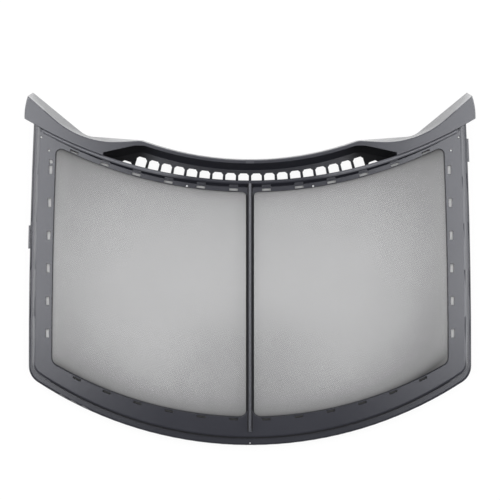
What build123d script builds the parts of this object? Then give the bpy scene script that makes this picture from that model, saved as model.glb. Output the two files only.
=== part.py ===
from build123d import *
import math
import os

# Tumble dryer lint filter: a flat pocket of two meshed leaves.
# The rear leaf is moulded in one with the handle and its air grille, and the front
# leaf is hinged to it along the bottom, so that the pocket opens for cleaning.
# Millimetres. The filter lies on its back: X across, Y towards the handle, Z up
# out of the front face. Heights along Y are counted from the lowest point of the
# curved bottom edge, and the finished solids move to the middle of the footprint.

# Panel outline, shared by both leaves
panel_half_width = 149.9
side_radius = 3640.0
side_widest_height = 26.6
bottom_radius = 261.0
bottom_corner = 13.0
wall = 2.2

# Depth of the closed pocket
rear_skin = 2.4
parting_height = 12.0
parting_gap = 0.3
flange_front = 20.0
plateau_rise = 4.0
front_skin = 2.2

# Step between the outer band and the raised face of the front leaf
band_side = 2.9
band_bottom = 5.3
band_round = 1.6
plateau_round = 2.2

# Top edge of the front leaf: a bead with a groove below it
lip_low = 179.7
lip_radius = 294.6
leaf_gap = 0.4
bead_width = 1.5
bead_rise = 1.2
bead_round = 0.6
groove_drop = 4.5
groove_radius = 279.0
groove_depth = 2.6
groove_slope = 45.0
groove_tab_drop = 1.2
groove_end = 13.0
stiffener_width = 4.7
stiffener_depth = 1.5

# Windows of the front leaf and the rib between them
window_side = 16.8
window_low = 20.7
window_bottom_radius = 258.0
window_drop = 8.3
window_top_radius = 288.0
window_bottom_corner = 5.0
window_top_corner = 3.0
window_draft = 12.0
rib_width = 5.4
rib_crest = 2.2
rib_crest_round = 1.0
rib_rise = 2.6
rib_end = 10.6

# Windows of the rear leaf, a little larger than the front ones
rear_window_side = 9.6
rear_window_reach = 1.0
rear_window_corner = 5.0

# Gauze sheets moulded on behind the windows
mesh_thickness = 0.5
mesh_margin = 5.0
mesh_side_margin = 5.0
mesh_top_margin = 3.2
mesh_clearance = 0.3

# Slots around the front windows, where pins of the mould held the gauze
slot_pitch = 22.0
slot_length = 5.8
slot_width = 2.2
strip_slot_width = 1.5
slot_offset = 2.2
side_slot_offset = 3.7
side_slot_count = 6
side_slot_first = 77.0
small_slot_height = 192.5
small_slot_length = 2.6

# Small locating holes: inset and drop of two near each top corner, and one on the top strip
pin_hole_radius = 0.8
corner_holes = [(6.0, 8.5), (11.6, 14.3)]
strip_hole_along = 42.4
strip_hole_offset = 1.6

# Handle: front profile, slanted top and hollow wings
handle_overhang = 0.1
handle_depth = 28.0
wing_tip_inset = 2.4
wing_slope_rise = 31.9
wing_valley_half_span = 111.5
wing_fillet = 60.0
wing_rear_fillet = 16.0
wing_flat_rise = 10.6
wing_tip_slant = 2.8
wing_valley_slant = 5.0
bar_rise = 14.0
bar_radius = 212.0
bar_thickness = 2.4
shoulder_half_span = 72.5
shoulder_round = 7.0
wing_end_bow = 0.7
handle_edge_bevel = 0.7
wing_rib = 1.8
wing_hollow_length = 33.0
wing_hollow_count = 2

# Finger recess in the handle
recess_tip_half_span = 97.8
recess_tip_drop = 5.6
recess_knee_half_span = 77.0
recess_knee_drop = 1.1
recess_slope = 5.0
recess_slope_angle = 45.0

# Air grille in the rear wall of the recess
grille_drop = 9.7
grille_top_radius = 250.0
grille_slot_count = 20
grille_slot_angle = 2.0
grille_slot_width = 7.1
grille_slot_length = 7.6
grille_slot_corner = 1.4
grille_end_drop = 5.6

# Hinge at the bottom edge: two pins on lugs of the rear leaf in barrels of the front leaf
hinge_height = 2.6
barrel_radius = 2.4
barrel_start = 6.0
barrel_end = 17.0
pin_radius = 1.25
pin_clearance = 0.08
pin_length = 8.4
bore_spare = 0.6
lug_thickness = 4.0
lug_side_gap = 0.4
lug_waist = 1.0
hinge_room = 0.35
hinge_relief_half_span = 42.0
hinge_relief_depth = 4.2

# Latch tabs of the front leaf, over the side walls of the rear leaf
tab_thickness = 1.1
tab_gap = 0.15
tab_reach = 7.0
tab_rise = 5.5
tab_root = 1.0
right_tab_height = 200.0
left_tab_height = 141.6
tab_length = 15.5

# Pry notch in the outer band at the bottom centre
notch_width = 4.6
notch_depth = 1.4

# Worked-out heights and reaches
rear_top = parting_height - parting_gap / 2
front_low = parting_height + parting_gap / 2
plateau_front = flange_front + plateau_rise
handle_half = panel_half_width + handle_overhang
skin_inside = plateau_front - front_skin
groove_low = lip_low - groove_drop
window_high = lip_low - window_drop
rear_window_low = window_low - rear_window_reach
rear_window_high = window_high + rear_window_reach
wing_low = lip_low + leaf_gap
wing_low_radius = lip_radius - leaf_gap
bar_low = lip_low + bar_rise
wing_flat_height = bar_low + wing_flat_rise
wing_tip_height = wing_flat_height + wing_slope_rise
recess_tip_height = wing_flat_height - recess_tip_drop
recess_knee_height = wing_flat_height - recess_knee_drop
grille_centre_height = bar_low - grille_drop + grille_top_radius
overall_height = wing_tip_height + wing_tip_slant
beyond = 60.0


def smile_height(low, radius, across):
    """Height of an arc that curves up to both sides of its lowest point."""
    return low + radius - math.sqrt(radius**2 - across**2)


def smile_disc(low, radius):
    """Disc whose lower edge is such an arc."""
    return Pos(0, low + radius) * Circle(radius)


def slab(face, low, high):
    """Straight block over a flat face, between two heights."""
    return Pos(0, 0, low) * extrude(face, high - low)


def box_between(x_low, x_high, y_low, y_high, z_low, z_high):
    """Block between two corners."""
    block = Box(x_high - x_low, y_high - y_low, z_high - z_low)
    middle = Pos((x_low + x_high) / 2, (y_low + y_high) / 2, (z_low + z_high) / 2)
    return middle * block


def both_sides(shape):
    """A shape together with its mirror image on the left."""
    return shape + mirror(shape, about=Plane.YZ)


def side_edge(height):
    """Half width of the panel at a height."""
    rise = height - side_widest_height
    return panel_half_width - side_radius + math.sqrt(side_radius**2 - rise**2)


def side_band(inset):
    """Region between the two gently bowed sides, moved in by an inset."""
    reach = side_radius - panel_half_width
    disc = Circle(side_radius - inset)
    return (Pos(-reach, side_widest_height) * disc) & (Pos(reach, side_widest_height) * disc)


def panel_face(side_inset, bottom_inset, top_low, top_radius):
    """Panel outline moved in at the sides and bottom, under a given top arc."""
    bottom = smile_disc(bottom_inset, bottom_radius - bottom_inset)
    face = (bottom & side_band(side_inset)) - smile_disc(top_low, top_radius)
    corners = face.vertices().sort_by(Axis.Y)[:2]
    return fillet(corners, bottom_corner - min(side_inset, bottom_inset))


def window_region(side, low, high, side_margin, low_margin, high_margin):
    """Area of both windows together, grown by margins at the sides, the bottom and the top."""
    bottom = smile_disc(low - low_margin, window_bottom_radius + low_margin)
    top = smile_disc(high + high_margin, window_top_radius - high_margin)
    return (bottom & side_band(side - side_margin)) - top


def split_windows(region, bottom_corner_radius, top_corner_radius):
    """Two windows with rounded corners, left and right of the middle rib."""
    tall = 2 * overall_height
    halves = region - Rectangle(rib_width, 2 * tall)
    low_corners = halves.vertices().sort_by(Axis.Y)[:4]
    rounded = fillet(low_corners, bottom_corner_radius)
    high_corners = rounded.vertices().sort_by(Axis.Y)[-4:]
    return fillet(high_corners, top_corner_radius)


front_region = window_region(window_side, window_low, window_high, 0, 0, 0)
front_windows = split_windows(front_region, window_bottom_corner, window_top_corner)
rear_region = window_region(rear_window_side, rear_window_low, rear_window_high, 0, 0, 0)
rear_windows = split_windows(rear_region, rear_window_corner, rear_window_corner)


def rounded_corner(before, corner, after, radius):
    """Arc that rounds a corner between two straight runs."""
    towards_before = (before - corner).normalized()
    towards_after = (after - corner).normalized()
    half_angle = math.radians(towards_before.get_angle(towards_after)) / 2
    reach = radius / math.tan(half_angle)
    bisector = (towards_before + towards_after).normalized()
    middle = corner + bisector * (radius / math.sin(half_angle) - radius)
    return ThreePointArc(corner + towards_before * reach, middle, corner + towards_after * reach)


def handle_outline(tip_slant, valley_slant, valley_round, inset):
    """Handle outline seen from the front, with its wing tops raised and its rim drawn in."""
    tip = Vector(handle_half - wing_tip_inset - inset, wing_tip_height + tip_slant - 2 * inset)
    valley = Vector(wing_valley_half_span, wing_flat_height + valley_slant - inset)
    shoulder = Vector(shoulder_half_span, smile_height(bar_low, bar_radius, shoulder_half_span) - inset)
    end_low = Vector(handle_half - inset, smile_height(wing_low, wing_low_radius, handle_half - inset))
    bow = (end_low + tip) * 0.5 + Vector(wing_end_bow, 0)
    bar_angle = math.asin(shoulder_half_span / bar_radius)
    along_bar = shoulder - Vector(math.cos(bar_angle), math.sin(bar_angle))
    dip = rounded_corner(tip, valley, shoulder, valley_round)
    brow = rounded_corner(valley, shoulder, along_bar, shoulder_round)
    right = [ThreePointArc(end_low, bow, tip), Line(tip, dip @ 0), dip, Line(dip @ 1, brow @ 0), brow]
    left = [edge.mirror(Plane.YZ) for edge in right]
    top_arc = ThreePointArc(brow @ 1, (0, bar_low - inset), left[-1] @ 1)
    low_arc = ThreePointArc(left[0] @ 0, (0, wing_low), end_low)
    return make_face([*right, top_arc, *reversed(left), low_arc])


def front_outline():
    """Outline of the handle just behind its bevelled front rim."""
    return handle_outline(0, 0, wing_fillet, 0)


def handle_block():
    """Handle as a solid block: slanted wing tops that run smoothly into the grip bar."""
    rear = handle_outline(wing_tip_slant, wing_valley_slant, wing_rear_fillet, 0)
    front = Pos(0, 0, handle_depth - handle_edge_bevel) * front_outline()
    face = Pos(0, 0, handle_depth) * handle_outline(0, 0, wing_fillet, handle_edge_bevel)
    return loft([rear, front, face], ruled=True)


def recess_scoop():
    """Finger recess with straight walls and a sloping foot, run down into the pocket."""
    slope_top = rear_skin + recess_slope
    knee = (recess_knee_half_span, recess_knee_height)
    tip = (recess_tip_half_span, recess_tip_height)
    foot = (recess_tip_half_span, lip_low - 2 * recess_slope)
    right = [knee, tip, foot]
    left = [(-x, y) for x, y in reversed(right)]
    block = make_face(Polyline(*right, *left, close=True))
    crescent = block - smile_disc(bar_low - bar_thickness, bar_radius + bar_thickness)
    well = slab(crescent, slope_top, handle_depth + beyond)
    mouth = Pos(0, 0, slope_top) * crescent
    return well + extrude(mouth, recess_slope, dir=(0, 0, -1), taper=recess_slope_angle)


def grille_slots():
    """Row of radial slots with bevelled tops, fanned about a centre above the handle."""
    slots = Sketch()
    for index in range(grille_slot_count):
        at_end = index in (0, grille_slot_count - 1)
        drop = grille_end_drop if at_end else 0
        slot = Rectangle(grille_slot_width, grille_slot_length - drop, align=(Align.CENTER, Align.MAX))
        slot = chamfer(slot.vertices().sort_by(Axis.Y)[2:], grille_slot_corner)
        angle = (index - (grille_slot_count - 1) / 2) * grille_slot_angle
        slots += Pos(0, grille_centre_height) * Rot(0, 0, angle) * Pos(0, -grille_top_radius - drop) * slot
    return slots


def wing_cavities():
    """Hollows in both wings, open at the rear, with stiffening ribs left between them."""
    run = handle_half - wing_tip_inset - wing_valley_half_span
    slope_drop = wall * math.hypot(run, wing_slope_rise) / run
    under_slope = Pos(0, -slope_drop) * front_outline()
    inner = under_slope & smile_disc(wing_low + wall, wing_low_radius - wall)
    far_end = handle_half - wing_tip_inset - wall
    pitch = (wing_hollow_length + wing_rib) / wing_hollow_count
    cavities = Part()
    for index in range(wing_hollow_count):
        left_edge = far_end - wing_hollow_length + index * pitch
        strip = Pos(left_edge, 0) * Rectangle(pitch - wing_rib, 4 * overall_height, align=(Align.MIN, Align.CENTER))
        cavities += slab(inner & strip, -beyond, handle_depth - wall)
    return both_sides(cavities)


def hinge_relief():
    """Space in the rear leaf's bottom edge for the barrels and the turning rim."""
    half = hinge_relief_half_span
    inner = hinge_height + barrel_radius + hinge_room
    return box_between(-half, half, -beyond, inner, parting_height - hinge_relief_depth, parting_height + beyond)


def hinge_housing():
    """Thicker bottom wall of the rear leaf behind the hinge, cored out from the rear."""
    half = hinge_relief_half_span + wall
    inner = hinge_height + barrel_radius + hinge_room + wall
    block = box_between(-half, half, -beyond, inner, 0, rear_top)
    floor = parting_height - hinge_relief_depth - wall
    core = box_between(-half + wall, half - wall, -beyond, inner - wall, -beyond, floor)
    inside = slab(panel_face(wall, wall, wing_low, wing_low_radius), 0, rear_top)
    outside = slab(panel_face(0, 0, wing_low, wing_low_radius), 0, rear_top)
    return (block & outside) - (core & inside)


def hinge_core():
    """Hollow under the hinge housing, open at the rear."""
    half = hinge_relief_half_span
    inner = hinge_height + barrel_radius + hinge_room
    floor = parting_height - hinge_relief_depth - wall
    core = box_between(-half, half, -beyond, inner, -beyond, floor)
    return core & slab(panel_face(wall, wall, wing_low, wing_low_radius), -beyond, rear_top)


def hinge_lug():
    """Right-hand lug with its pin, pointing at the middle of the hinge."""
    start = barrel_end + lug_side_gap
    axis_place = Pos(start + lug_thickness / 2, hinge_height, parting_height)
    eye = axis_place * Rot(0, 90, 0) * Cylinder(barrel_radius, lug_thickness)
    inner = hinge_height + barrel_radius + hinge_room
    foot = parting_height - hinge_relief_depth
    stem = box_between(start, start + lug_thickness, hinge_height - lug_waist, inner, foot, parting_height)
    web = box_between(start, start + lug_thickness, hinge_height, inner, foot, rear_top)
    pin_place = Pos(start - pin_length / 2, hinge_height, parting_height)
    pin = pin_place * Rot(0, 90, 0) * Cylinder(pin_radius, pin_length)
    trim = box_between(start, start + lug_thickness, inner - hinge_room, inner, rear_top, parting_height)
    return eye + (stem - trim) + web + pin


def make_rear_frame():
    """Rear leaf, handle, grille and hinge lugs, one moulding."""
    tray_top = smile_disc(wing_low + wall, wing_low_radius - wall)
    tray = slab(panel_face(0, 0, wing_low, wing_low_radius), 0, rear_top)
    seam = ((smile_disc(0, bottom_radius) & side_band(0)) - tray_top) & Rectangle(2 * handle_half, 4 * overall_height)
    seam_strip = seam & smile_disc(wing_low - wall, wing_low_radius + wall)
    tray += slab(seam_strip, 0, rear_top)
    frame = tray + handle_block()
    frame -= slab(panel_face(wall, wall, wing_low, wing_low_radius), rear_skin, handle_depth + beyond)
    frame -= recess_scoop()
    frame -= wing_cavities()
    frame -= slab(rear_windows, -beyond, beyond)
    frame -= slab(grille_slots(), -beyond, rear_skin + wall)
    frame += hinge_housing()
    frame -= hinge_relief()
    frame -= hinge_core()
    return frame + both_sides(hinge_lug())


def leaf_blank():
    """Front leaf as a stepped shell with rounded shoulders, before its openings."""
    flange = slab(panel_face(0, 0, lip_low, lip_radius), front_low, flange_front)
    rim = flange.edges().filter_by_position(Axis.Z, flange_front, flange_front)
    flange = fillet(rim.sort_by(Axis.Y)[:-1], band_round)
    plateau = slab(panel_face(band_side, band_bottom, lip_low, lip_radius), front_low, plateau_front)
    brow = plateau.edges().filter_by_position(Axis.Z, plateau_front, plateau_front)
    plateau = fillet(brow.sort_by(Axis.Y)[:-1], plateau_round)
    open_top = lip_low + beyond
    low_pocket = panel_face(wall, wall, open_top, lip_radius - beyond)
    high_pocket = panel_face(band_side + wall, band_bottom + wall, open_top, lip_radius - beyond)
    blank = flange + plateau
    blank -= slab(low_pocket, front_low - beyond, flange_front - front_skin)
    return blank - slab(high_pocket, front_low - beyond, skin_inside)


def lip_band(start, end, side_inset):
    """Strip of the panel that follows the lip, between two distances below its edge."""
    zone = Pos(0, lip_low) * Rectangle(2 * handle_half, 2 * handle_half)
    strip = side_band(side_inset) & smile_disc(lip_low - end, lip_radius + end) & zone
    return strip - smile_disc(lip_low - start, lip_radius + start)


def lip_bead():
    """Rounded bead along the top edge of the leaf."""
    bead = slab(lip_band(0, bead_width, band_side + plateau_round), skin_inside, plateau_front + bead_rise)
    crest = bead.edges().filter_by_position(Axis.Z, plateau_front + bead_rise, plateau_front + bead_rise)
    return fillet(crest.sort_by(SortBy.LENGTH)[-2:], bead_round)


def lip_stiffener():
    """Thicker strip under the lip, which leaves a wall below the groove."""
    strip = lip_band(0, stiffener_width, band_side + wall / 2)
    return slab(strip, skin_inside - stiffener_depth, skin_inside + front_skin / 2)


def strip_places():
    """Places of the slots along the top or bottom strip, measured from the middle."""
    room = panel_half_width - window_side - slot_length - slot_pitch / 2
    per_side = math.floor(room / slot_pitch) + 1
    right = [(index + 0.5) * slot_pitch for index in range(per_side)]
    return [-along for along in right] + right


def on_top_strip(along, offset_up, shape):
    """A flat shape set on the strip above the windows, turned with the arc."""
    reach = window_top_radius - offset_up
    turn = math.degrees(along / reach)
    return Pos(0, window_high + window_top_radius) * Rot(0, 0, turn) * Pos(0, -reach) * shape


def on_bottom_strip(along, offset_down, shape):
    """A flat shape set on the strip below the windows, turned with the arc."""
    reach = window_bottom_radius + offset_down
    turn = math.degrees(along / reach)
    return Pos(0, window_low + window_bottom_radius) * Rot(0, 0, turn) * Pos(0, -reach) * shape


def perimeter_slots():
    """Slots all round the two windows, evenly pitched along each edge."""
    slots = Sketch()
    flat = Rectangle(slot_length, strip_slot_width)
    upright = Rectangle(slot_width, slot_length)
    for along in strip_places():
        slots += on_top_strip(along, slot_offset, flat)
        slots += on_bottom_strip(along, slot_offset, flat)
    for index in range(side_slot_count):
        height = side_slot_first + index * slot_pitch
        across = side_edge(height) - window_side + side_slot_offset
        slots += Pos(across, height) * upright
        slots += Pos(-across, height) * upright
    across = side_edge(small_slot_height) - window_side + side_slot_offset
    return slots + Pos(-across, small_slot_height) * Rectangle(slot_width, small_slot_length)


def locating_holes():
    """Small round holes near the top corners and on the top strip."""
    hole = Circle(pin_hole_radius)
    holes = on_top_strip(strip_hole_along, strip_hole_offset, hole)
    for inset, drop in corner_holes:
        height = smile_height(lip_low, lip_radius, panel_half_width - inset) - drop
        holes += Pos(side_edge(height) - inset, height) * hole
    return both_sides(holes)


def lip_groove():
    """Groove that slopes down from the lip bead, bridged by a tab above each slot of the strip."""
    strip = smile_disc(groove_low, groove_radius) - smile_disc(lip_low - bead_width, lip_radius + bead_width)
    strip = strip & Rectangle(2 * (panel_half_width - groove_end), 4 * overall_height)
    tab = Rectangle(slot_length, 4 * (lip_low - window_high))
    broken = strip
    for along in strip_places():
        broken -= on_top_strip(along, slot_offset, tab)
    channel = slab(strip, plateau_front - groove_tab_drop, plateau_front + beyond)
    channel += slab(broken, plateau_front - groove_depth, plateau_front)
    crown = Pos(0, 0, plateau_front) * smile_disc(lip_low - bead_width, lip_radius + bead_width)
    return channel - extrude(crown, groove_depth, dir=(0, 0, -1), taper=-groove_slope)


def middle_rib():
    """Ridge between the windows, with sloping flanks and a narrow round crest."""
    top = plateau_front + rib_rise
    right = [(rib_width / 2, skin_inside), (rib_crest / 2, top - rib_crest_round)]
    left = [(-x, z) for x, z in reversed(right)]
    crest = ThreePointArc(right[1], (0, top), left[0])
    section = make_face([Line(*right), crest, Line(*left), Line(left[1], right[0])])
    length = lip_low - bead_width - rib_end
    return Pos(0, lip_low - bead_width, 0) * extrude(Plane.XZ * section, length)


def hinge_boss():
    """Right-hand hinge barrel of the front leaf, carried down from its bottom wall."""
    length = barrel_end - barrel_start
    place = Pos((barrel_start + barrel_end) / 2, hinge_height, parting_height)
    barrel = place * Rot(0, 90, 0) * Cylinder(barrel_radius, length)
    top = flange_front - front_skin
    neck = box_between(barrel_start, barrel_end, 0, hinge_height + barrel_radius, parting_height, top)
    return barrel + (neck & slab(panel_face(0, 0, lip_low, lip_radius), parting_height, top))


def hinge_bore():
    """Blind bore of the right-hand barrel."""
    depth = pin_length - lug_side_gap + bore_spare
    place = Pos(barrel_end - depth / 2 + bore_spare, hinge_height, parting_height)
    return place * Rot(0, 90, 0) * Cylinder(pin_radius + pin_clearance, depth + 2 * bore_spare)


def lug_notch():
    """Gap in the front leaf's bottom wall that clears the right-hand lug at every angle."""
    start = barrel_end
    end = barrel_end + 2 * lug_side_gap + lug_thickness
    top = parting_height + barrel_radius + hinge_room
    return box_between(start, end, -beyond, hinge_height + barrel_radius + hinge_room, parting_height - beyond, top)


def latch_tab(side, height):
    """Tab that reaches from the front leaf over the side wall of the rear leaf."""
    outer = panel_face(-tab_gap - tab_thickness, -tab_gap - tab_thickness, lip_low, lip_radius)
    clear = panel_face(-tab_gap, -tab_gap, lip_low, lip_radius)
    root = panel_face(tab_root, tab_root, lip_low, lip_radius)
    zone = Pos(side * panel_half_width, height) * RectangleRounded(2 * tab_length, tab_length, tab_thickness)
    apron = slab((outer - clear) & zone, parting_height - tab_reach, parting_height + tab_rise)
    joint = slab((outer - root) & zone, front_low, parting_height + tab_rise)
    return apron + joint


def make_front_frame():
    """Front leaf with windows, rib, lip, hinge barrels and latch tabs, one moulding."""
    leaf = leaf_blank() + latch_tab(1, right_tab_height) + latch_tab(-1, left_tab_height)
    leaf += lip_stiffener()
    leaf -= lip_groove()
    leaf += lip_bead()
    leaf -= Pos(0, 0, skin_inside - wall) * extrude(front_windows, front_skin + 2 * wall, taper=-window_draft)
    leaf += middle_rib()
    leaf -= slab(perimeter_slots(), skin_inside - wall, plateau_front + beyond)
    leaf -= slab(locating_holes(), skin_inside - wall, plateau_front + beyond)
    notch = box_between(-notch_width / 2, notch_width / 2, -beyond, notch_depth, flange_front - front_skin, beyond)
    leaf -= notch
    leaf += both_sides(hinge_boss())
    return leaf - both_sides(hinge_bore() + lug_notch())


def make_front_mesh():
    """Gauze sheet behind the front windows."""
    margins = (mesh_side_margin, mesh_margin, mesh_top_margin)
    region = window_region(window_side, window_low, window_high, *margins)
    drop = stiffener_width + mesh_clearance
    region -= smile_disc(lip_low - drop, lip_radius + drop)
    return slab(region, skin_inside - mesh_thickness, skin_inside)


def make_rear_mesh():
    """Gauze sheet on the inside of the rear windows."""
    margins = (mesh_margin, mesh_margin, mesh_top_margin)
    region = window_region(rear_window_side, rear_window_low, rear_window_high, *margins)
    return slab(region, rear_skin, rear_skin + mesh_thickness)


nodes = {
    "rear_frame": make_rear_frame(),
    "front_frame": make_front_frame(),
    "front_mesh": make_front_mesh(),
    "rear_mesh": make_rear_mesh(),
}

os.makedirs("parts", exist_ok=True)
for name, solid in nodes.items():
    export_step(Pos(0, -overall_height / 2, 0) * solid, f"parts/{name}.step")
    print(name, round(solid.volume), "cubic mm")
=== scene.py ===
# %% [markdown]
# # Tumble dryer lint filter
#
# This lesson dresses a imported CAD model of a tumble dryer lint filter. The filter is a flat
# pocket: a dark moulded rear leaf with a winged handle, and a front leaf hinged to it along the
# bottom. Both leaves carry fine pale gauze. The CAD solids give the moulded shapes, so Blender's
# work is the light, the finishes, gauze that is a woven sheet and not a plate, and a little trim.

# %% Load the frame
import math

import bmesh
import bpy
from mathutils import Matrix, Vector, noise


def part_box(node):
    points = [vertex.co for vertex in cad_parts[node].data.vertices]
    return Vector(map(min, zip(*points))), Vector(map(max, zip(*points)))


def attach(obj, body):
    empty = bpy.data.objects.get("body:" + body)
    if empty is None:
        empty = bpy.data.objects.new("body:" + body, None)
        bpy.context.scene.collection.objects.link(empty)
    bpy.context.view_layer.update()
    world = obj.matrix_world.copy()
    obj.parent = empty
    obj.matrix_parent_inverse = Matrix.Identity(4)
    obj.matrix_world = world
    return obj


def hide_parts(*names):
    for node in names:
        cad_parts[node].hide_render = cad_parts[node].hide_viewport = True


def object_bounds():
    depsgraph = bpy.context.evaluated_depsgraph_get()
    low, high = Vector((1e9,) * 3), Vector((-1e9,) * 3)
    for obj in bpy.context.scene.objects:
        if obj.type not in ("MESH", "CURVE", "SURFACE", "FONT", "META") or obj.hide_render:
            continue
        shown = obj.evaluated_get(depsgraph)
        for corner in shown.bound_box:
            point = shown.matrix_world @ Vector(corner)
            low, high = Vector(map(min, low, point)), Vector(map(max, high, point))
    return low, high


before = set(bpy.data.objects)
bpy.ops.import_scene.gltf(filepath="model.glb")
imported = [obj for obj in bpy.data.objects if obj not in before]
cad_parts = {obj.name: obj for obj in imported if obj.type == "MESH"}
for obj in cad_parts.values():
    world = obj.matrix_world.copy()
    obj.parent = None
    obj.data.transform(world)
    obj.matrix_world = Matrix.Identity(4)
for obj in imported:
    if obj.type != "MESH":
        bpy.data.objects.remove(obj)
cad_low, cad_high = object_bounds()
scene = bpy.context.scene
scene.view_settings.view_transform = "Standard"
millimetre = 0.001
print("nodes", sorted(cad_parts), "size in mm", [round(1000 * side) for side in cad_high - cad_low])

# %% [markdown]
# ## Camera
#
# The filter lies on its back and the camera looks down on it. The photograph shows a little of
# the wings' top faces, so the camera stands a few degrees towards the handle. The distance is a
# product photographer's: far enough to keep the outline straight. Turning the camera about X
# alone keeps the handle at the top of the picture.

# %% Camera
camera_tilt = math.radians(4.0)
camera_distance = 1140 * millimetre
camera_target = Vector((0, 13.8, 24)) * millimetre
focal_length = 122.4
sensor_width = 36.0
camera_lens = bpy.data.cameras.new("camera")
camera_lens.lens = focal_length
camera_lens.sensor_width = sensor_width
camera = bpy.data.objects.new("camera", camera_lens)
camera.rotation_euler = (-camera_tilt, 0, 0)
towards_camera = Vector((0, math.sin(camera_tilt), math.cos(camera_tilt)))
camera.location = camera_target + camera_distance * towards_camera
scene.collection.objects.link(camera)
scene.camera = camera
print("camera at", [round(place, 4) for place in camera.location])

# %% [markdown]
# ## Shader maths as Python
#
# Blender's materials are graphs of nodes. Long graphs are easier to read as formulas, so one
# small class wraps a socket: its operators add Math nodes, and one method adds any other node.

# %% Socket wrapper


class Graph:
    """Adds nodes to one node tree."""

    def __init__(self, tree):
        self.tree = tree

    def node(self, kind, settings=None, **inputs):
        """A node of a kind, with its settings, and values or links for its sockets."""
        made = self.tree.nodes.new(kind)
        for name, value in (settings or {}).items():
            setattr(made, name, value)
        for name, value in inputs.items():
            self.feed(self.find(made, name), value)
        return made

    def find(self, made, name):
        """Input socket by its label, with underscores for blanks, or by its number as in_0."""
        if name.startswith("in_"):
            return made.inputs[int(name[3:])]
        return made.inputs[name.replace("_", " ")]

    def feed(self, socket, value):
        """Sets a socket to a plain value, or links a wrapped socket to it."""
        if isinstance(value, Value):
            self.tree.links.new(value.socket, socket)
        else:
            socket.default_value = value

    def value(self, made, output=0):
        """One output of a node, wrapped for sums and links."""
        return Value(self, made.outputs[output])

    def math(self, operation, *terms):
        """One Math node."""
        made = self.tree.nodes.new("ShaderNodeMath")
        made.operation = operation
        for socket, term in zip(made.inputs, terms):
            self.feed(socket, term)
        return self.value(made)

    def blend(self, share, first, second):
        """Colour between two colours."""
        made = self.tree.nodes.new("ShaderNodeMix")
        made.data_type = "RGBA"
        self.feed(made.inputs["Factor"], share)
        self.feed(made.inputs["A"], first)
        self.feed(made.inputs["B"], second)
        return self.value(made, "Result")


class Value:
    """A socket that can be used in sums."""

    def __init__(self, graph, socket):
        self.graph = graph
        self.socket = socket

    def __add__(self, other):
        return self.graph.math("ADD", self, other)

    def __radd__(self, other):
        return self.graph.math("ADD", other, self)

    def __sub__(self, other):
        return self.graph.math("SUBTRACT", self, other)

    def __rsub__(self, other):
        return self.graph.math("SUBTRACT", other, self)

    def __mul__(self, other):
        return self.graph.math("MULTIPLY", self, other)

    def __rmul__(self, other):
        return self.graph.math("MULTIPLY", other, self)

    def __truediv__(self, other):
        return self.graph.math("DIVIDE", self, other)

    def __rtruediv__(self, other):
        return self.graph.math("DIVIDE", other, self)


print("socket wrapper ready")

# %% Material helpers


def new_material(name):
    """An empty material, and the graph to fill it."""
    material = bpy.data.materials.new(name)
    material.use_nodes = True
    material.node_tree.nodes.clear()
    return material, Graph(material.node_tree)


def show(graph, shader):
    """Makes a shader the surface of its material."""
    graph.node("ShaderNodeOutputMaterial", Surface=graph.value(shader))


def place_in_object(graph):
    """Object coordinates, which stay with the piece as it moves."""
    return graph.value(graph.node("ShaderNodeTexCoord"), "Object")


def axes_of(graph, vector):
    """The three parts of a vector."""
    made = graph.node("ShaderNodeSeparateXYZ", Vector=vector)
    return [graph.value(made, axis) for axis in "XYZ"]


def ramp(graph, value, start, end):
    """Smooth step from zero at one value to one at another."""
    settings = {"interpolation_type": "SMOOTHSTEP"}
    made = graph.node("ShaderNodeMapRange", settings, Value=value, From_Min=start, From_Max=end)
    return graph.value(made)


print("material helpers ready")

# %% [markdown]
# ## Floor and surroundings
#
# Spare parts are photographed on white. The floor is white to the camera through the Light Path
# node, and partly a real lit surface, so that a faint shadow stays near the filter. Further out
# the lit share fades away, so that the floor has no visible end. The light that falls on the
# object then doesn't have to be turned up to make the floor white. Reflections see the lit floor
# as it is, dark under the filter.

# %% Floor
floor_size = 6.0
floor_drop = 0.2 * millimetre
white_share = 0.9
fade_start = 0.5
fade_end = 1.2
floor_colour = (0.95, 0.95, 0.95, 1)


def floor_finish():
    """White to the camera, with a share of the lit floor near the filter."""
    material, graph = new_material("studio_floor")
    lit = graph.node("ShaderNodeBsdfDiffuse", Color=floor_colour)
    white = graph.node("ShaderNodeEmission", Color=(1, 1, 1, 1), Strength=1.0)
    place = place_in_object(graph)
    reach = graph.value(graph.node("ShaderNodeVectorMath", {"operation": "LENGTH"}, in_0=place), "Value")
    share = white_share + ramp(graph, reach, fade_start, fade_end) * (1 - white_share)
    seen = graph.value(graph.node("ShaderNodeLightPath"), "Is Camera Ray") * share
    mix = graph.node("ShaderNodeMixShader", in_0=seen, in_1=graph.value(lit), in_2=graph.value(white))
    show(graph, mix)
    return material


def make_floor():
    """Large plain floor just under the rear face."""
    mesh = bpy.data.meshes.new("floor")
    half = floor_size / 2
    height = cad_low.z - floor_drop
    corners = [(-half, -half, height), (half, -half, height), (half, half, height), (-half, half, height)]
    mesh.from_pydata(corners, [], [(0, 1, 2, 3)])
    mesh.materials.append(floor_finish())
    floor = bpy.data.objects.new("floor", mesh)
    scene.collection.objects.link(floor)
    return round(height / millimetre, 2)


print("floor at", make_floor(), "mm")

# %% World
ambient_strength = 0.2


def make_world():
    """White to the camera, a plain soft grey for the light that it gives."""
    world = bpy.data.worlds.new("studio")
    world.use_nodes = True
    world.node_tree.nodes.clear()
    graph = Graph(world.node_tree)
    seen = graph.value(graph.node("ShaderNodeLightPath"), "Is Camera Ray")
    strength = ambient_strength + seen * (1 - ambient_strength)
    background = graph.node("ShaderNodeBackground", Color=(1, 1, 1, 1), Strength=strength)
    graph.node("ShaderNodeOutputWorld", Surface=graph.value(background))
    scene.world = world


make_world()
print("ambient light", ambient_strength)

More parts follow.
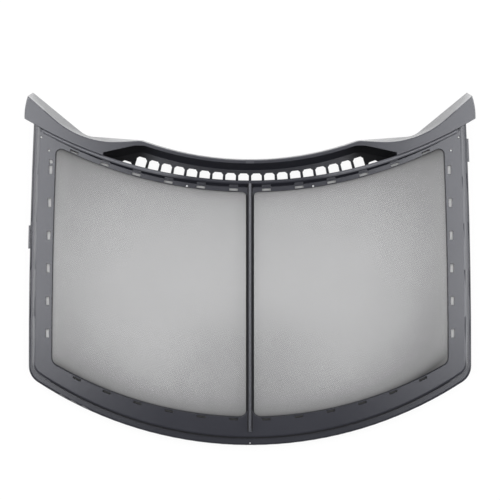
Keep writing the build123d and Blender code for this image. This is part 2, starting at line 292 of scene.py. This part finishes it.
# %% [markdown]
# ## Soft boxes
#
# The sides of the photographed frame are bright and its middle is dark. Both face straight up,
# so the difference is a reflection: a large soft box hangs on each side, with a dark gap where
# the camera is. Satin plastic mirrors whatever hangs opposite the eye. The rounded steps along
# the sides show light lines too, so two more soft boxes stand upright beside the table, and one
# stands behind it for the tops of the wings. Nothing stands in front, so what faces the front
# edge stays dark.

# %% Soft boxes
overhead_height = 1250 * millimetre
overhead_across = 500 * millimetre
overhead_along = 1000 * millimetre
overhead_middle = 470 * millimetre
overhead_shift = 240 * millimetre
overhead_radiance = 5.2
upright_height = 800 * millimetre
upright_tall = 1500 * millimetre
upright_along = 1200 * millimetre
upright_middle = 1300 * millimetre
upright_radiance = 2.0
back_distance = 1500 * millimetre
back_across = 2600 * millimetre
back_height = 450 * millimetre
back_tall = 880 * millimetre
back_radiance = 1.4

# A lamp's watts are spread over four times its area, so they follow from a level and a size.
spread = 4


def soft_box(name, place, turn, across, along, radiance):
    """One rectangular lamp, turned from looking straight down."""
    lamp = bpy.data.lights.new(name, "AREA")
    lamp.shape = "RECTANGLE"
    lamp.size = across
    lamp.size_y = along
    lamp.energy = radiance * spread * across * along
    holder = bpy.data.objects.new(name, lamp)
    holder.location = place
    holder.rotation_euler = turn
    scene.collection.objects.link(holder)
    print("soft box", name, round(lamp.energy, 2), "W")


for name, side in (("left", -1), ("right", 1)):
    above = (side * overhead_middle, overhead_shift, overhead_height)
    soft_box("overhead_" + name, above, (0, 0, 0), overhead_across, overhead_along, overhead_radiance)
    beside = (side * upright_middle, overhead_shift, upright_height)
    inwards = (0, side * math.pi / 2, 0)
    soft_box("upright_" + name, beside, inwards, upright_tall, upright_along, upright_radiance)
behind = (0, back_distance, back_height)
forwards = (-math.pi / 2, 0, 0)
soft_box("back", behind, forwards, back_across, back_tall, back_radiance)

# %% [markdown]
# ## Painted light and shade on the plastic
#
# The colour of the plastic carries painted light and shade. The crest of its rib and the edge of its
# handle are painted a little paler as a highlight, and its shoulders are painted pale for the light
# that their rounded sides catch. The flanks of the rib, the deep ends of the finger recess and the
# step along the bottom edge are painted darker and less glossy as shade. Such places could be
# painted by hand, but a painting is an image. Here each place is told by where a point lies in the
# object and which way its surface faces, so it stays put in every pose.

# %% Surface point


class SurfacePoint:
    """Where a point of the filter lies and which way it faces, as wrapped values."""

    def __init__(self, graph):
        normal = graph.value(graph.node("ShaderNodeTexCoord"), "Normal")
        self.place = place_in_object(graph)
        self.across, self.along, self.height = axes_of(graph, self.place)
        self.outwards = graph.math("ABSOLUTE", self.across)
        self.facing_across, self.facing_along, self.facing_up = axes_of(graph, normal)


print("surface point ready")

# %% Painted highlight on rib and rim
rib_half = 2.75 * millimetre
rib_foot = 21.5 * millimetre
crest_foot = 25.6 * millimetre
rim_foot = 27.25 * millimetre
steep_faces = (0.6, 0.45)
rim_faces = (0.95, 0.85)


def on_rib(graph, point):
    """One on the middle rib, and none elsewhere."""
    narrow = graph.math("LESS_THAN", point.outwards, rib_half)
    return narrow * graph.math("GREATER_THAN", point.height, rib_foot)


# Painted highlight where the crest and the rim would catch the light.
def painted_highlight_share(graph, point):
    """Share of the painted highlight on the crest of the rib and the rim of the handle."""
    on_crest = on_rib(graph, point) * graph.math("GREATER_THAN", point.height, crest_foot)
    crest = on_crest * (1 - ramp(graph, point.facing_up, *steep_faces))
    on_rim = graph.math("GREATER_THAN", point.height, rim_foot)
    return graph.math("MAXIMUM", crest, on_rim * ramp(graph, point.facing_up, *rim_faces))


print("rubbed above", round(crest_foot / millimetre, 1), "mm on the rib")

# %% Painted light on the shoulders
shoulder_inner = 137 * millimetre
shoulder_foot = 21.7 * millimetre
shoulder_fade = (-80 * millimetre, -50 * millimetre)
shoulder_faces = (0.05, 0.5)


# Painted light where the shoulders' rounded sides face sideways.
def shoulder_light_share(graph, point):
    """Share of the painted light on the shoulders, which ends above the bottom corners."""
    beside = graph.math("GREATER_THAN", point.outwards, shoulder_inner)
    high = graph.math("GREATER_THAN", point.height, shoulder_foot)
    above_corner = ramp(graph, point.along, *shoulder_fade)
    sideways = ramp(graph, graph.math("ABSOLUTE", point.facing_across), *shoulder_faces)
    return beside * high * above_corner * sideways


print("shoulders scuffed beyond", round(shoulder_inner / millimetre), "mm from the middle")

# %% Painted shade on the plastic
recess_ends = (60 * millimetre, 76 * millimetre)
recess_front = (50 * millimetre, 56 * millimetre)
recess_depth = (9 * millimetre, 7.5 * millimetre)
recess_faces = (0.1, 0.4)
step_reach = -75 * millimetre
step_foot = 20.1 * millimetre
step_faces = (-0.3, -0.6)


# Painted shade: darker and less glossy where shade falls on the rib's flanks, the recess ends and the
# bottom step.
def painted_shade_share(graph, point):
    """Share of the flanks of the rib, the deep ends of the recess and the bottom step."""
    flanks = on_rib(graph, point) * ramp(graph, point.facing_up, *steep_faces)
    end_floor = ramp(graph, point.outwards, *recess_ends) * ramp(graph, point.facing_up, *recess_faces)
    deep = ramp(graph, point.along, *recess_front) * ramp(graph, point.height, *recess_depth)
    low = graph.math("LESS_THAN", point.along, step_reach)
    raised = graph.math("GREATER_THAN", point.height, step_foot)
    step = low * raised * ramp(graph, point.facing_along, *step_faces)
    return graph.math("MAXIMUM", graph.math("MAXIMUM", flanks, end_floor * deep), step)


print("recess dull beyond", round(recess_ends[1] / millimetre), "mm from the middle")

# %% [markdown]
# ## Moulded plastic
#
# Both leaves are one dark grey plastic with a satin, finely grained surface from a spark-eroded
# mould. A fine noise drives a bump for the grain. A slower noise changes the roughness a little,
# as handling does, and a Bevel node softens the mould's sharp edges so that they catch the light.
# The painted highlights and the painted light on the shoulders change the colour. The painted
# shade needs less gloss as well, so it is a second, darker shader, mixed in where its share says so.

# %% Noise field


def noise_field(graph, place, size, detail=2.0):
    """Noise with features of a size in metres."""
    settings = {"noise_dimensions": "3D"}
    made = graph.node("ShaderNodeTexNoise", settings, Vector=place, Scale=1 / size, Detail=detail)
    return graph.value(made, "Fac")


print("noise field ready")

# %% Frame plastic
plastic_dark = (0.0160, 0.0165, 0.0220, 1)
plastic_light = (0.0210, 0.0216, 0.0280, 1)
# Colour of the painted highlight on the rib's crest and the handle's rim.
painted_highlight_colour = (0.038, 0.039, 0.047, 1)
# Colour of the painted light on the rounded shoulders.
shoulder_light_colour = (0.10, 0.1015, 0.11, 1)
# Colour of the painted highlight towards the ends of the lip.
end_highlight_colour = (0.075, 0.076, 0.086, 1)
end_highlight_start = 38 * millimetre
end_highlight_end = 62 * millimetre
patch_size = 38 * millimetre
patch_detail = 3.0
grain_size = 0.45 * millimetre
grain_strength = 0.22
grain_depth = 0.03 * millimetre
satin_roughness = 0.16
patch_roughness = 0.07
grain_roughness = 0.05
plastic_ior = 1.5
gloss_tint = (0.95, 0.96, 1.0, 1)
# Colour of the painted shade on the rib's flanks, the recess ends and the bottom step.
shade_matt_colour = (0.0095, 0.0095, 0.0112, 1)
matt_roughness = 0.75
matt_gloss = 0.15
bevel_samples = 6


def make_plastic(name, softness, end_highlight):
    """Satin dark grey plastic with edges of a softness, and with ends painted paler as a highlight by a
    share.
    """
    material, graph = new_material(name)
    point = SurfacePoint(graph)
    patches = noise_field(graph, point.place, patch_size, patch_detail)
    grain = noise_field(graph, point.place, grain_size)
    soft_edge = graph.value(graph.node("ShaderNodeBevel", {"samples": bevel_samples}, Radius=softness))
    bump = graph.node(
        "ShaderNodeBump", Strength=grain_strength, Distance=grain_depth, Height=grain, Normal=soft_edge
    )
    clean = graph.blend(patches, plastic_dark, plastic_light)
    # Painted highlight on the crest and the rim.
    highlighted = graph.blend(painted_highlight_share(graph, point), clean, painted_highlight_colour)
    # Painted light on the shoulders.
    lightened = graph.blend(shoulder_light_share(graph, point), highlighted, shoulder_light_colour)
    # Painted highlight towards the ends, by its share.
    ends_highlighted = ramp(graph, point.outwards, end_highlight_start, end_highlight_end) * end_highlight
    satin = graph.node(
        "ShaderNodeBsdfPrincipled",
        Base_Color=graph.blend(ends_highlighted, lightened, end_highlight_colour),
        Roughness=satin_roughness + patches * patch_roughness + grain * grain_roughness,
        Normal=graph.value(bump),
        IOR=plastic_ior,
        Specular_Tint=gloss_tint,
    )
    # Painted shade: a darker, less glossy shader.
    shade_matt = graph.node(
        "ShaderNodeBsdfPrincipled",
        Base_Color=shade_matt_colour,
        Roughness=matt_roughness,
        Normal=graph.value(bump),
        Specular_IOR_Level=matt_gloss,
    )
    share = painted_shade_share(graph, point)
    mix = graph.node("ShaderNodeMixShader", in_0=share, in_1=graph.value(satin), in_2=graph.value(shade_matt))
    show(graph, mix)
    return material


edge_softness = 0.28 * millimetre
plastic = make_plastic("frame_plastic", edge_softness, 0.0)
for name in ("rear_frame", "front_frame"):
    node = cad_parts[name]
    node.data.materials.clear()
    node.data.materials.append(plastic)
    print("plastic on", name)

# %% [markdown]
# ## Lip bead
#
# The front leaf's top edge ends in a bead, which shows as a pale line from corner to corner. The
# moulded bead of the solid is narrow, so this cap gives it its broader, gently crowned crest. A
# curve with a bevel could draw it, but a section swept along the lip's arc ring by ring has just
# the faces that it needs. It sits on the bead and in the groove below it, and its plastic is
# sharper at the edges and painted paler towards the ends as a painted highlight.

# %% Pieces of the front leaf


def skin_rings(shape, rings):
    """Faces between each ring of points and the next, with both ends closed."""
    count = len(rings[0])
    for first, second in zip(rings, rings[1:]):
        for index in range(count):
            after = (index + 1) % count
            shape.faces.new((first[index], first[after], second[after], second[index]))
    shape.faces.new(rings[0])
    shape.faces.new(rings[-1])


def front_piece(name, shape, finish):
    """Object made from a finished shape, which rides on the front leaf."""
    bmesh.ops.recalc_face_normals(shape, faces=shape.faces)
    mesh = bpy.data.meshes.new(name)
    shape.to_mesh(mesh)
    shape.free()
    mesh.materials.append(finish)
    mesh.shade_smooth()
    piece = bpy.data.objects.new(name, mesh)
    scene.collection.objects.link(piece)
    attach(piece, "front_leaf")
    print(name, "faces", len(mesh.polygons))


print("piece helpers ready")

# %% Lip bead
lip_low = 60.2 * millimetre
lip_radius = 294.6 * millimetre
lip_half_angle = math.radians(28.0)
lip_steps = 112
lip_softness = 0.1 * millimetre

# Distance below the lip's arc and height, in millimetres, from the handle's side over the crown.
bead_section = [
    (-0.25, 24.4),
    (-0.25, 25.25),
    (-0.1, 25.38),
    (0.9, 25.45),
    (2.1, 25.38),
    (2.3, 25.1),
    (2.3, 21.5),
]


def lip_bead():
    """Cap on the lip: one section swept along the arc, closed at both ends."""
    cap = bmesh.new()
    centre = Vector((0, lip_low + lip_radius, 0))
    rings = []
    for step in range(lip_steps + 1):
        angle = lip_half_angle * (2 * step / lip_steps - 1)
        outwards = Vector((math.sin(angle), -math.cos(angle), 0))
        ring = []
        for inset, height in bead_section:
            point = centre + outwards * (lip_radius + inset * millimetre)
            point.z = height * millimetre
            ring.append(cap.verts.new(point))
        rings.append(ring)
    skin_rings(cap, rings)
    # The full share of the painted highlight at the ends.
    front_piece("lip_bead", cap, make_plastic("lip_plastic", lip_softness, 1.0))


lip_bead()
print("lip bead length in mm", round(2 * lip_half_angle * lip_radius / millimetre))

# %% [markdown]
# ## Distances in the windows
#
# Painted shade and margins follow the edges of the windows. The top and bottom edges are arcs, so the
# distance to them is the distance from the centre of each arc, less its radius. The sides bow by
# a few millimetres over their length, which a square of the height gives closely enough.

# %% Window distances
window_low = -98.8 * millimetre
window_low_radius = 258 * millimetre
window_high = 51.9 * millimetre
window_high_radius = 288 * millimetre
window_half_width = 133.1 * millimetre
side_widest = -92.9 * millimetre
side_radius = 3640 * millimetre


def arc_distance(graph, place, low, radius):
    """Distance outside an arc that curves up from its lowest point."""
    flat = graph.node("ShaderNodeVectorMath", {"operation": "MULTIPLY"}, in_0=place, in_1=(1, 1, 0))
    centre = (0, low + radius, 0)
    settings = {"operation": "DISTANCE"}
    reach = graph.node("ShaderNodeVectorMath", settings, in_0=graph.value(flat), in_1=centre)
    return graph.value(reach, "Value") - radius


def window_distances(graph, place):
    """Distances into the windows from their sides, their bottom arc and their top arc."""
    across, along = axes_of(graph, place)[:2]
    rise = along - side_widest
    edge = window_half_width - rise * rise / (2 * side_radius)
    from_side = edge - graph.math("ABSOLUTE", across)
    from_low = 0.0 - arc_distance(graph, place, window_low, window_low_radius)
    from_high = arc_distance(graph, place, window_high, window_high_radius)
    return from_side, from_low, from_high


print("windows from", round(window_low / millimetre, 1), "to", round(window_high / millimetre, 1), "mm")

# %% [markdown]
# ## Painted shade in the gauze
#
# Painted shade in the weave stands in for the frame's shadow and the dark pocket walls seen through
# the gauze. It lies close along the curved bottom and top edges, wider and fainter around them,
# thickest in the corners, and a little more on the right. Some lies above the bottom in the middle.
# Each of these is a fading with the distance from an edge, and their sum is the share of painted shade.

# %% Painted shade field
close_low_reach = 5 * millimetre
close_high_reach = 3 * millimetre
close_high_weight = 0.5
wide_reach = 22 * millimetre
wide_weight = 0.38
corner_reach = 25 * millimetre
corner_low_weight = 0.6
corner_low_gain = 0.9
corner_high_weight = 1.5
side_reach = 18 * millimetre
side_weight = 0.28
side_gain = 0.2
right_side = (-60 * millimetre, 60 * millimetre)
low_middle_across = (70 * millimetre, 10 * millimetre)
low_middle_along = (-10 * millimetre, -70 * millimetre)
low_middle_weight = 0.28


def fading(graph, distance, length):
    """One at an edge, fading away from it over a length."""
    return graph.math("EXPONENT", distance * (-1 / length))


# Painted shade: it stands in for the frame's shadow and the dark pocket walls seen through the gauze.
def painted_shade_field(graph, place, distances, close_share, wide_share):
    """Share of painted shade in the weave, from none to one."""
    across, along = axes_of(graph, place)[:2]
    from_side, from_low, from_high = distances
    close_high = fading(graph, from_high, close_high_reach) * close_high_weight
    close = fading(graph, from_low, close_low_reach) + close_high
    wide_low = fading(graph, from_low, wide_reach)
    wide_high = fading(graph, from_high, wide_reach)
    to_the_right = ramp(graph, across, *right_side)
    corner_low = wide_low * (corner_low_weight + to_the_right * corner_low_gain)
    corner = fading(graph, from_side, corner_reach) * (corner_low + wide_high * corner_high_weight)
    beside = fading(graph, from_side, side_reach) * (side_weight + to_the_right * side_gain)
    # Painted shade above the bottom in the middle.
    middle = ramp(graph, graph.math("ABSOLUTE", across), *low_middle_across)
    low_middle = ramp(graph, along, *low_middle_along) * middle
    broad = (wide_low + wide_high) * wide_weight + corner + beside + low_middle * low_middle_weight
    return graph.math("MINIMUM", close * close_share + broad * wide_share, 1.0)


print("lint reaches", round(corner_reach / millimetre), "mm into the corners")

# %% [markdown]
# ## Gauze
#
# The windows are covered with woven polyester gauze that is moulded into the frame all round. A
# plate would look like frosted glass. Here the Alpha is a real weave, two sets of round threads,
# so that the pocket shows through it and the sheet works from close up as well. Painted shade, for
# the frame's shadow and the dark pocket walls seen through the gauze, darkens the threads and closes
# the pores between them, most of all on the rear sheet. Each sheet also has a margin that is moulded
# in: dark with closed pores below the bottom edge, sealed grey along the top, and a sealed white
# selvage along the sides, which shows in the pin slots there. Close to the sides both sheets are
# paler, the rear one most: painted light.

# %% Weave
thread_pitch = 0.55 * millimetre
thread_share = 0.33


def thread_height(graph, across, share):
    """Round thread profile, one at the middle of each thread and zero at its edges."""
    turn = graph.math("PINGPONG", across / (thread_pitch / 2), 1.0)
    rise = (turn + (share - 1.0)) / thread_share
    return graph.math("MAXIMUM", rise, 0.0)


def weave_height(graph, place, lay, share):
    """Height of two sets of threads that cross, laid at an angle to the frame."""
    turned = graph.node("ShaderNodeVectorRotate", {"rotation_type": "Z_AXIS"}, Vector=place, Angle=lay)
    across, along = axes_of(graph, graph.value(turned))[:2]
    warp = thread_height(graph, across, share)
    weft = thread_height(graph, along, share)
    return graph.math("MAXIMUM", warp, weft)


print("gauze threads", round(1e6 * thread_pitch * thread_share), "micrometres wide")

# %% Gauze finish
gauze_colour = (0.345, 0.345, 0.35, 1)
gauze_shade = (0.29, 0.29, 0.295, 1)
# Dark colour of the painted shade in the weave, also used for the dark margin below the bottom edge.
painted_shade_and_margin_colour = (0.03, 0.03, 0.03, 1)
# Colour of the real selvage, and also of the painted light near the window sides.
selvage_and_side_light_colour = (0.7, 0.7, 0.7, 1)
margin_colour = (0.42, 0.42, 0.42, 1)
side_selvage = 2.0 * millimetre
top_margin = 1.2 * millimetre
# Reach of the painted light that makes the sheets paler near the window sides.
side_light_reach = 5 * millimetre
# Share of darkening, with closed pores, below the window's bottom edge.
dark_margin_share = 0.85
mottle_size = 16 * millimetre
mottle_detail = 3.0
thread_relief = 0.5
thread_depth = 0.1 * millimetre
gauze_roughness = 0.55


def make_gauze(name, lay, close_share, wide_share, side_light_share):
    """Woven gauze with its threads at an angle, and with shares of painted shade and of painted side
    light.
    """
    material, graph = new_material(name)
    place = place_in_object(graph)
    distances = window_distances(graph, place)
    from_side, from_low, from_high = distances
    # Below the bottom edge the sheet is darker and its pores are closed.
    dark_margin = graph.math("LESS_THAN", from_low, 0.0) * dark_margin_share
    selvage = graph.math("LESS_THAN", from_side, -side_selvage)
    margin = graph.math("LESS_THAN", from_high, -top_margin)
    # Painted shade from the field, together with the dark margin below the bottom edge.
    painted_shade_and_dark_margin = graph.math("MAXIMUM", painted_shade_field(graph, place, distances, close_share, wide_share), dark_margin)
    height = weave_height(graph, place, lay, thread_share + painted_shade_and_dark_margin * (1 - thread_share))
    sealed = graph.math("MAXIMUM", selvage, margin)
    cover = graph.math("MAXIMUM", graph.math("GREATER_THAN", height, 0.0), sealed)
    mottle = noise_field(graph, place, mottle_size, mottle_detail)
    clean = graph.blend(mottle, gauze_shade, gauze_colour)
    # Threads darkened by the painted shade and the dark margin.
    darkened_cloth = graph.blend(painted_shade_and_dark_margin, clean, painted_shade_and_margin_colour)
    # Painted light: paler near the sides of the windows.
    painted_side_light = fading(graph, graph.math("MAXIMUM", from_side, 0.0), side_light_reach) * side_light_share
    woven = graph.blend(painted_side_light, darkened_cloth, selvage_and_side_light_colour)
    bump = graph.node("ShaderNodeBump", Strength=thread_relief, Distance=thread_depth, Height=height)
    shader = graph.node(
        "ShaderNodeBsdfPrincipled",
        Base_Color=graph.blend(selvage, graph.blend(margin, woven, margin_colour), selvage_and_side_light_colour),
        Roughness=gauze_roughness,
        Alpha=cover,
        Normal=graph.value(bump),
    )
    show(graph, shader)
    return material


front_lay = math.radians(1.0)
rear_lay = math.radians(31.0)
# The shares set the painted shade, strongest on the rear sheet, and the painted light at the sides.
front_finish = make_gauze("front_gauze", front_lay, close_share=0.55, wide_share=0.35, side_light_share=0.15)
rear_finish = make_gauze("rear_gauze", rear_lay, close_share=0.6, wide_share=0.9, side_light_share=0.95)
print("gauze finishes", front_finish.name, "and", rear_finish.name)

# %% [markdown]
# ## Gauze sheets
#
# The gauze is tight, with only a trace of ripple. Each sheet takes its outline from the CAD solid
# that it stands for: the upper face of that solid is copied as one surface, cut into a regular
# grid, and given a ripple too small to leave the solid's own thickness. A cloth simulation would
# add nothing to a sheet that is held all round.

# %% Outline of a sheet
face_tolerance = 0.1 * millimetre
weld_distance = 0.01 * millimetre
sheet_step = 6 * millimetre


def top_outline(node_name):
    """Mesh of the upper face of a CAD solid."""
    source = bmesh.new()
    source.from_mesh(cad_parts[node_name].data)
    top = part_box(node_name)[1].z
    below = [face for face in source.faces if face.calc_center_median().z < top - face_tolerance]
    bmesh.ops.delete(source, geom=below, context="FACES")
    bmesh.ops.remove_doubles(source, verts=source.verts, dist=weld_distance)
    return source


def cut_into_grid(sheet, low, high):
    """Cuts a flat mesh along evenly spaced lines both ways."""
    for axis, normal in ((0, (1, 0, 0)), (1, (0, 1, 0))):
        side = high[axis] - low[axis]
        count = int(side / sheet_step)
        for index in range(1, count):
            cut = Vector((0, 0, 0))
            cut[axis] = low[axis] + side * index / count
            parts = sheet.verts[:] + sheet.edges[:] + sheet.faces[:]
            bmesh.ops.bisect_plane(sheet, geom=parts, plane_co=cut, plane_no=normal)


print("sheets cut about every", round(sheet_step / millimetre), "mm")

# %% Gauze sheets
ripple_height = 0.12 * millimetre
ripple_length = 45 * millimetre


def gauze_sheet(name, node_name, body, finish):
    """A stretched gauze sheet in place of a CAD solid."""
    low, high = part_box(node_name)
    sheet = top_outline(node_name)
    cut_into_grid(sheet, low, high)
    middle = (low.z + high.z) / 2
    for vertex in sheet.verts:
        ripple = noise.noise(Vector((vertex.co.x, vertex.co.y, 0)) / ripple_length)
        vertex.co.z = middle + ripple_height * ripple
    mesh = bpy.data.meshes.new(name)
    sheet.to_mesh(mesh)
    area = sum(face.calc_area() for face in sheet.faces)
    sheet.free()
    mesh.materials.append(finish)
    mesh.shade_smooth()
    piece = bpy.data.objects.new(name, mesh)
    scene.collection.objects.link(piece)
    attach(piece, body)
    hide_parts(node_name)
    print(name, "faces", len(mesh.polygons), "area in square mm", round(area / millimetre**2))


gauze_sheet("front_gauze", "front_mesh", "front_leaf", front_finish)
gauze_sheet("rear_gauze", "rear_mesh", "rear_leaf", rear_finish)

# %% [markdown]
# ## Locating pins and gate mark
#
# Small pale dots show in six round holes of the face. They are taken for the heads of the pins
# that hold the gauze in the mould. One more pale dot, at the bottom edge, is taken for the gate
# mark, where the plastic entered the mould and was cut off. Each is a short section turned about
# an upright axis. The places follow the same arcs as the lip, the sides and the windows.

# %% Places of the pins
side_strip = 16.8 * millimetre
strip_pin_along = 42.4 * millimetre
strip_pin_offset = 1.6 * millimetre

# Distance in from the side and down from the lip, in millimetres, of the two pins at a corner.
corner_pins = [(6.0, 8.5), (11.6, 14.3)]


def right_pins():
    """Places of the pins on the right half: two at the corner and one above the window."""
    places = []
    for inset, drop in corner_pins:
        across = window_half_width + side_strip - inset * millimetre
        lip = lip_low + lip_radius - math.sqrt(lip_radius**2 - across**2)
        along = lip - drop * millimetre
        bow = (along - side_widest) ** 2 / (2 * side_radius)
        places.append((across - bow, along))
    reach = window_high_radius - strip_pin_offset
    angle = strip_pin_along / reach
    centre = window_high + window_high_radius
    places.append((reach * math.sin(angle), centre - reach * math.cos(angle)))
    return places


pin_places = right_pins()
pin_places += [(-across, along) for across, along in pin_places]
for across, along in pin_places:
    print("pin at", round(across / millimetre, 1), round(along / millimetre, 1), "mm")

# %% Turned trim
turn_steps = 20
trim_roughness = 0.35
trim_grain = 0.2


def turned_piece(name, places, section, dark, light):
    """Equal small solids, each a section of radii and heights turned about an upright axis."""
    shape = bmesh.new()
    for across, along in places:
        rings = []
        for radius, height in section:
            ring = []
            for step in range(turn_steps):
                angle = 2 * math.pi * step / turn_steps
                beside = across + radius * millimetre * math.cos(angle)
                ahead = along + radius * millimetre * math.sin(angle)
                ring.append(shape.verts.new((beside, ahead, height * millimetre)))
            rings.append(ring)
        skin_rings(shape, rings)
    material, graph = new_material(name)
    grain = noise_field(graph, place_in_object(graph), grain_size)
    shader = graph.node(
        "ShaderNodeBsdfPrincipled",
        Base_Color=graph.blend(grain, dark, light),
        Roughness=trim_roughness + grain * trim_grain,
    )
    show(graph, shader)
    front_piece(name, shape, material)


print("turned trim ready")

# %% Pins and gate mark
pin_section = [(0.15, 23.85), (0.4, 23.78), (0.56, 23.6), (0.6, 23.3), (0.6, 21.9)]
pin_dark = (0.72, 0.72, 0.73, 1)
pin_light = (0.86, 0.86, 0.86, 1)
gate_section = [(0.15, 20.15), (0.4, 20.1), (0.6, 19.95), (0.65, 19.7), (0.65, 18.9)]
gate_along = -117.8 * millimetre
gate_dark = (0.16, 0.16, 0.17, 1)
gate_light = (0.3, 0.3, 0.31, 1)
turned_piece("locating_pins", pin_places, pin_section, pin_dark, pin_light)
turned_piece("gate_mark", [(0, gate_along)], gate_section, gate_dark, gate_light)
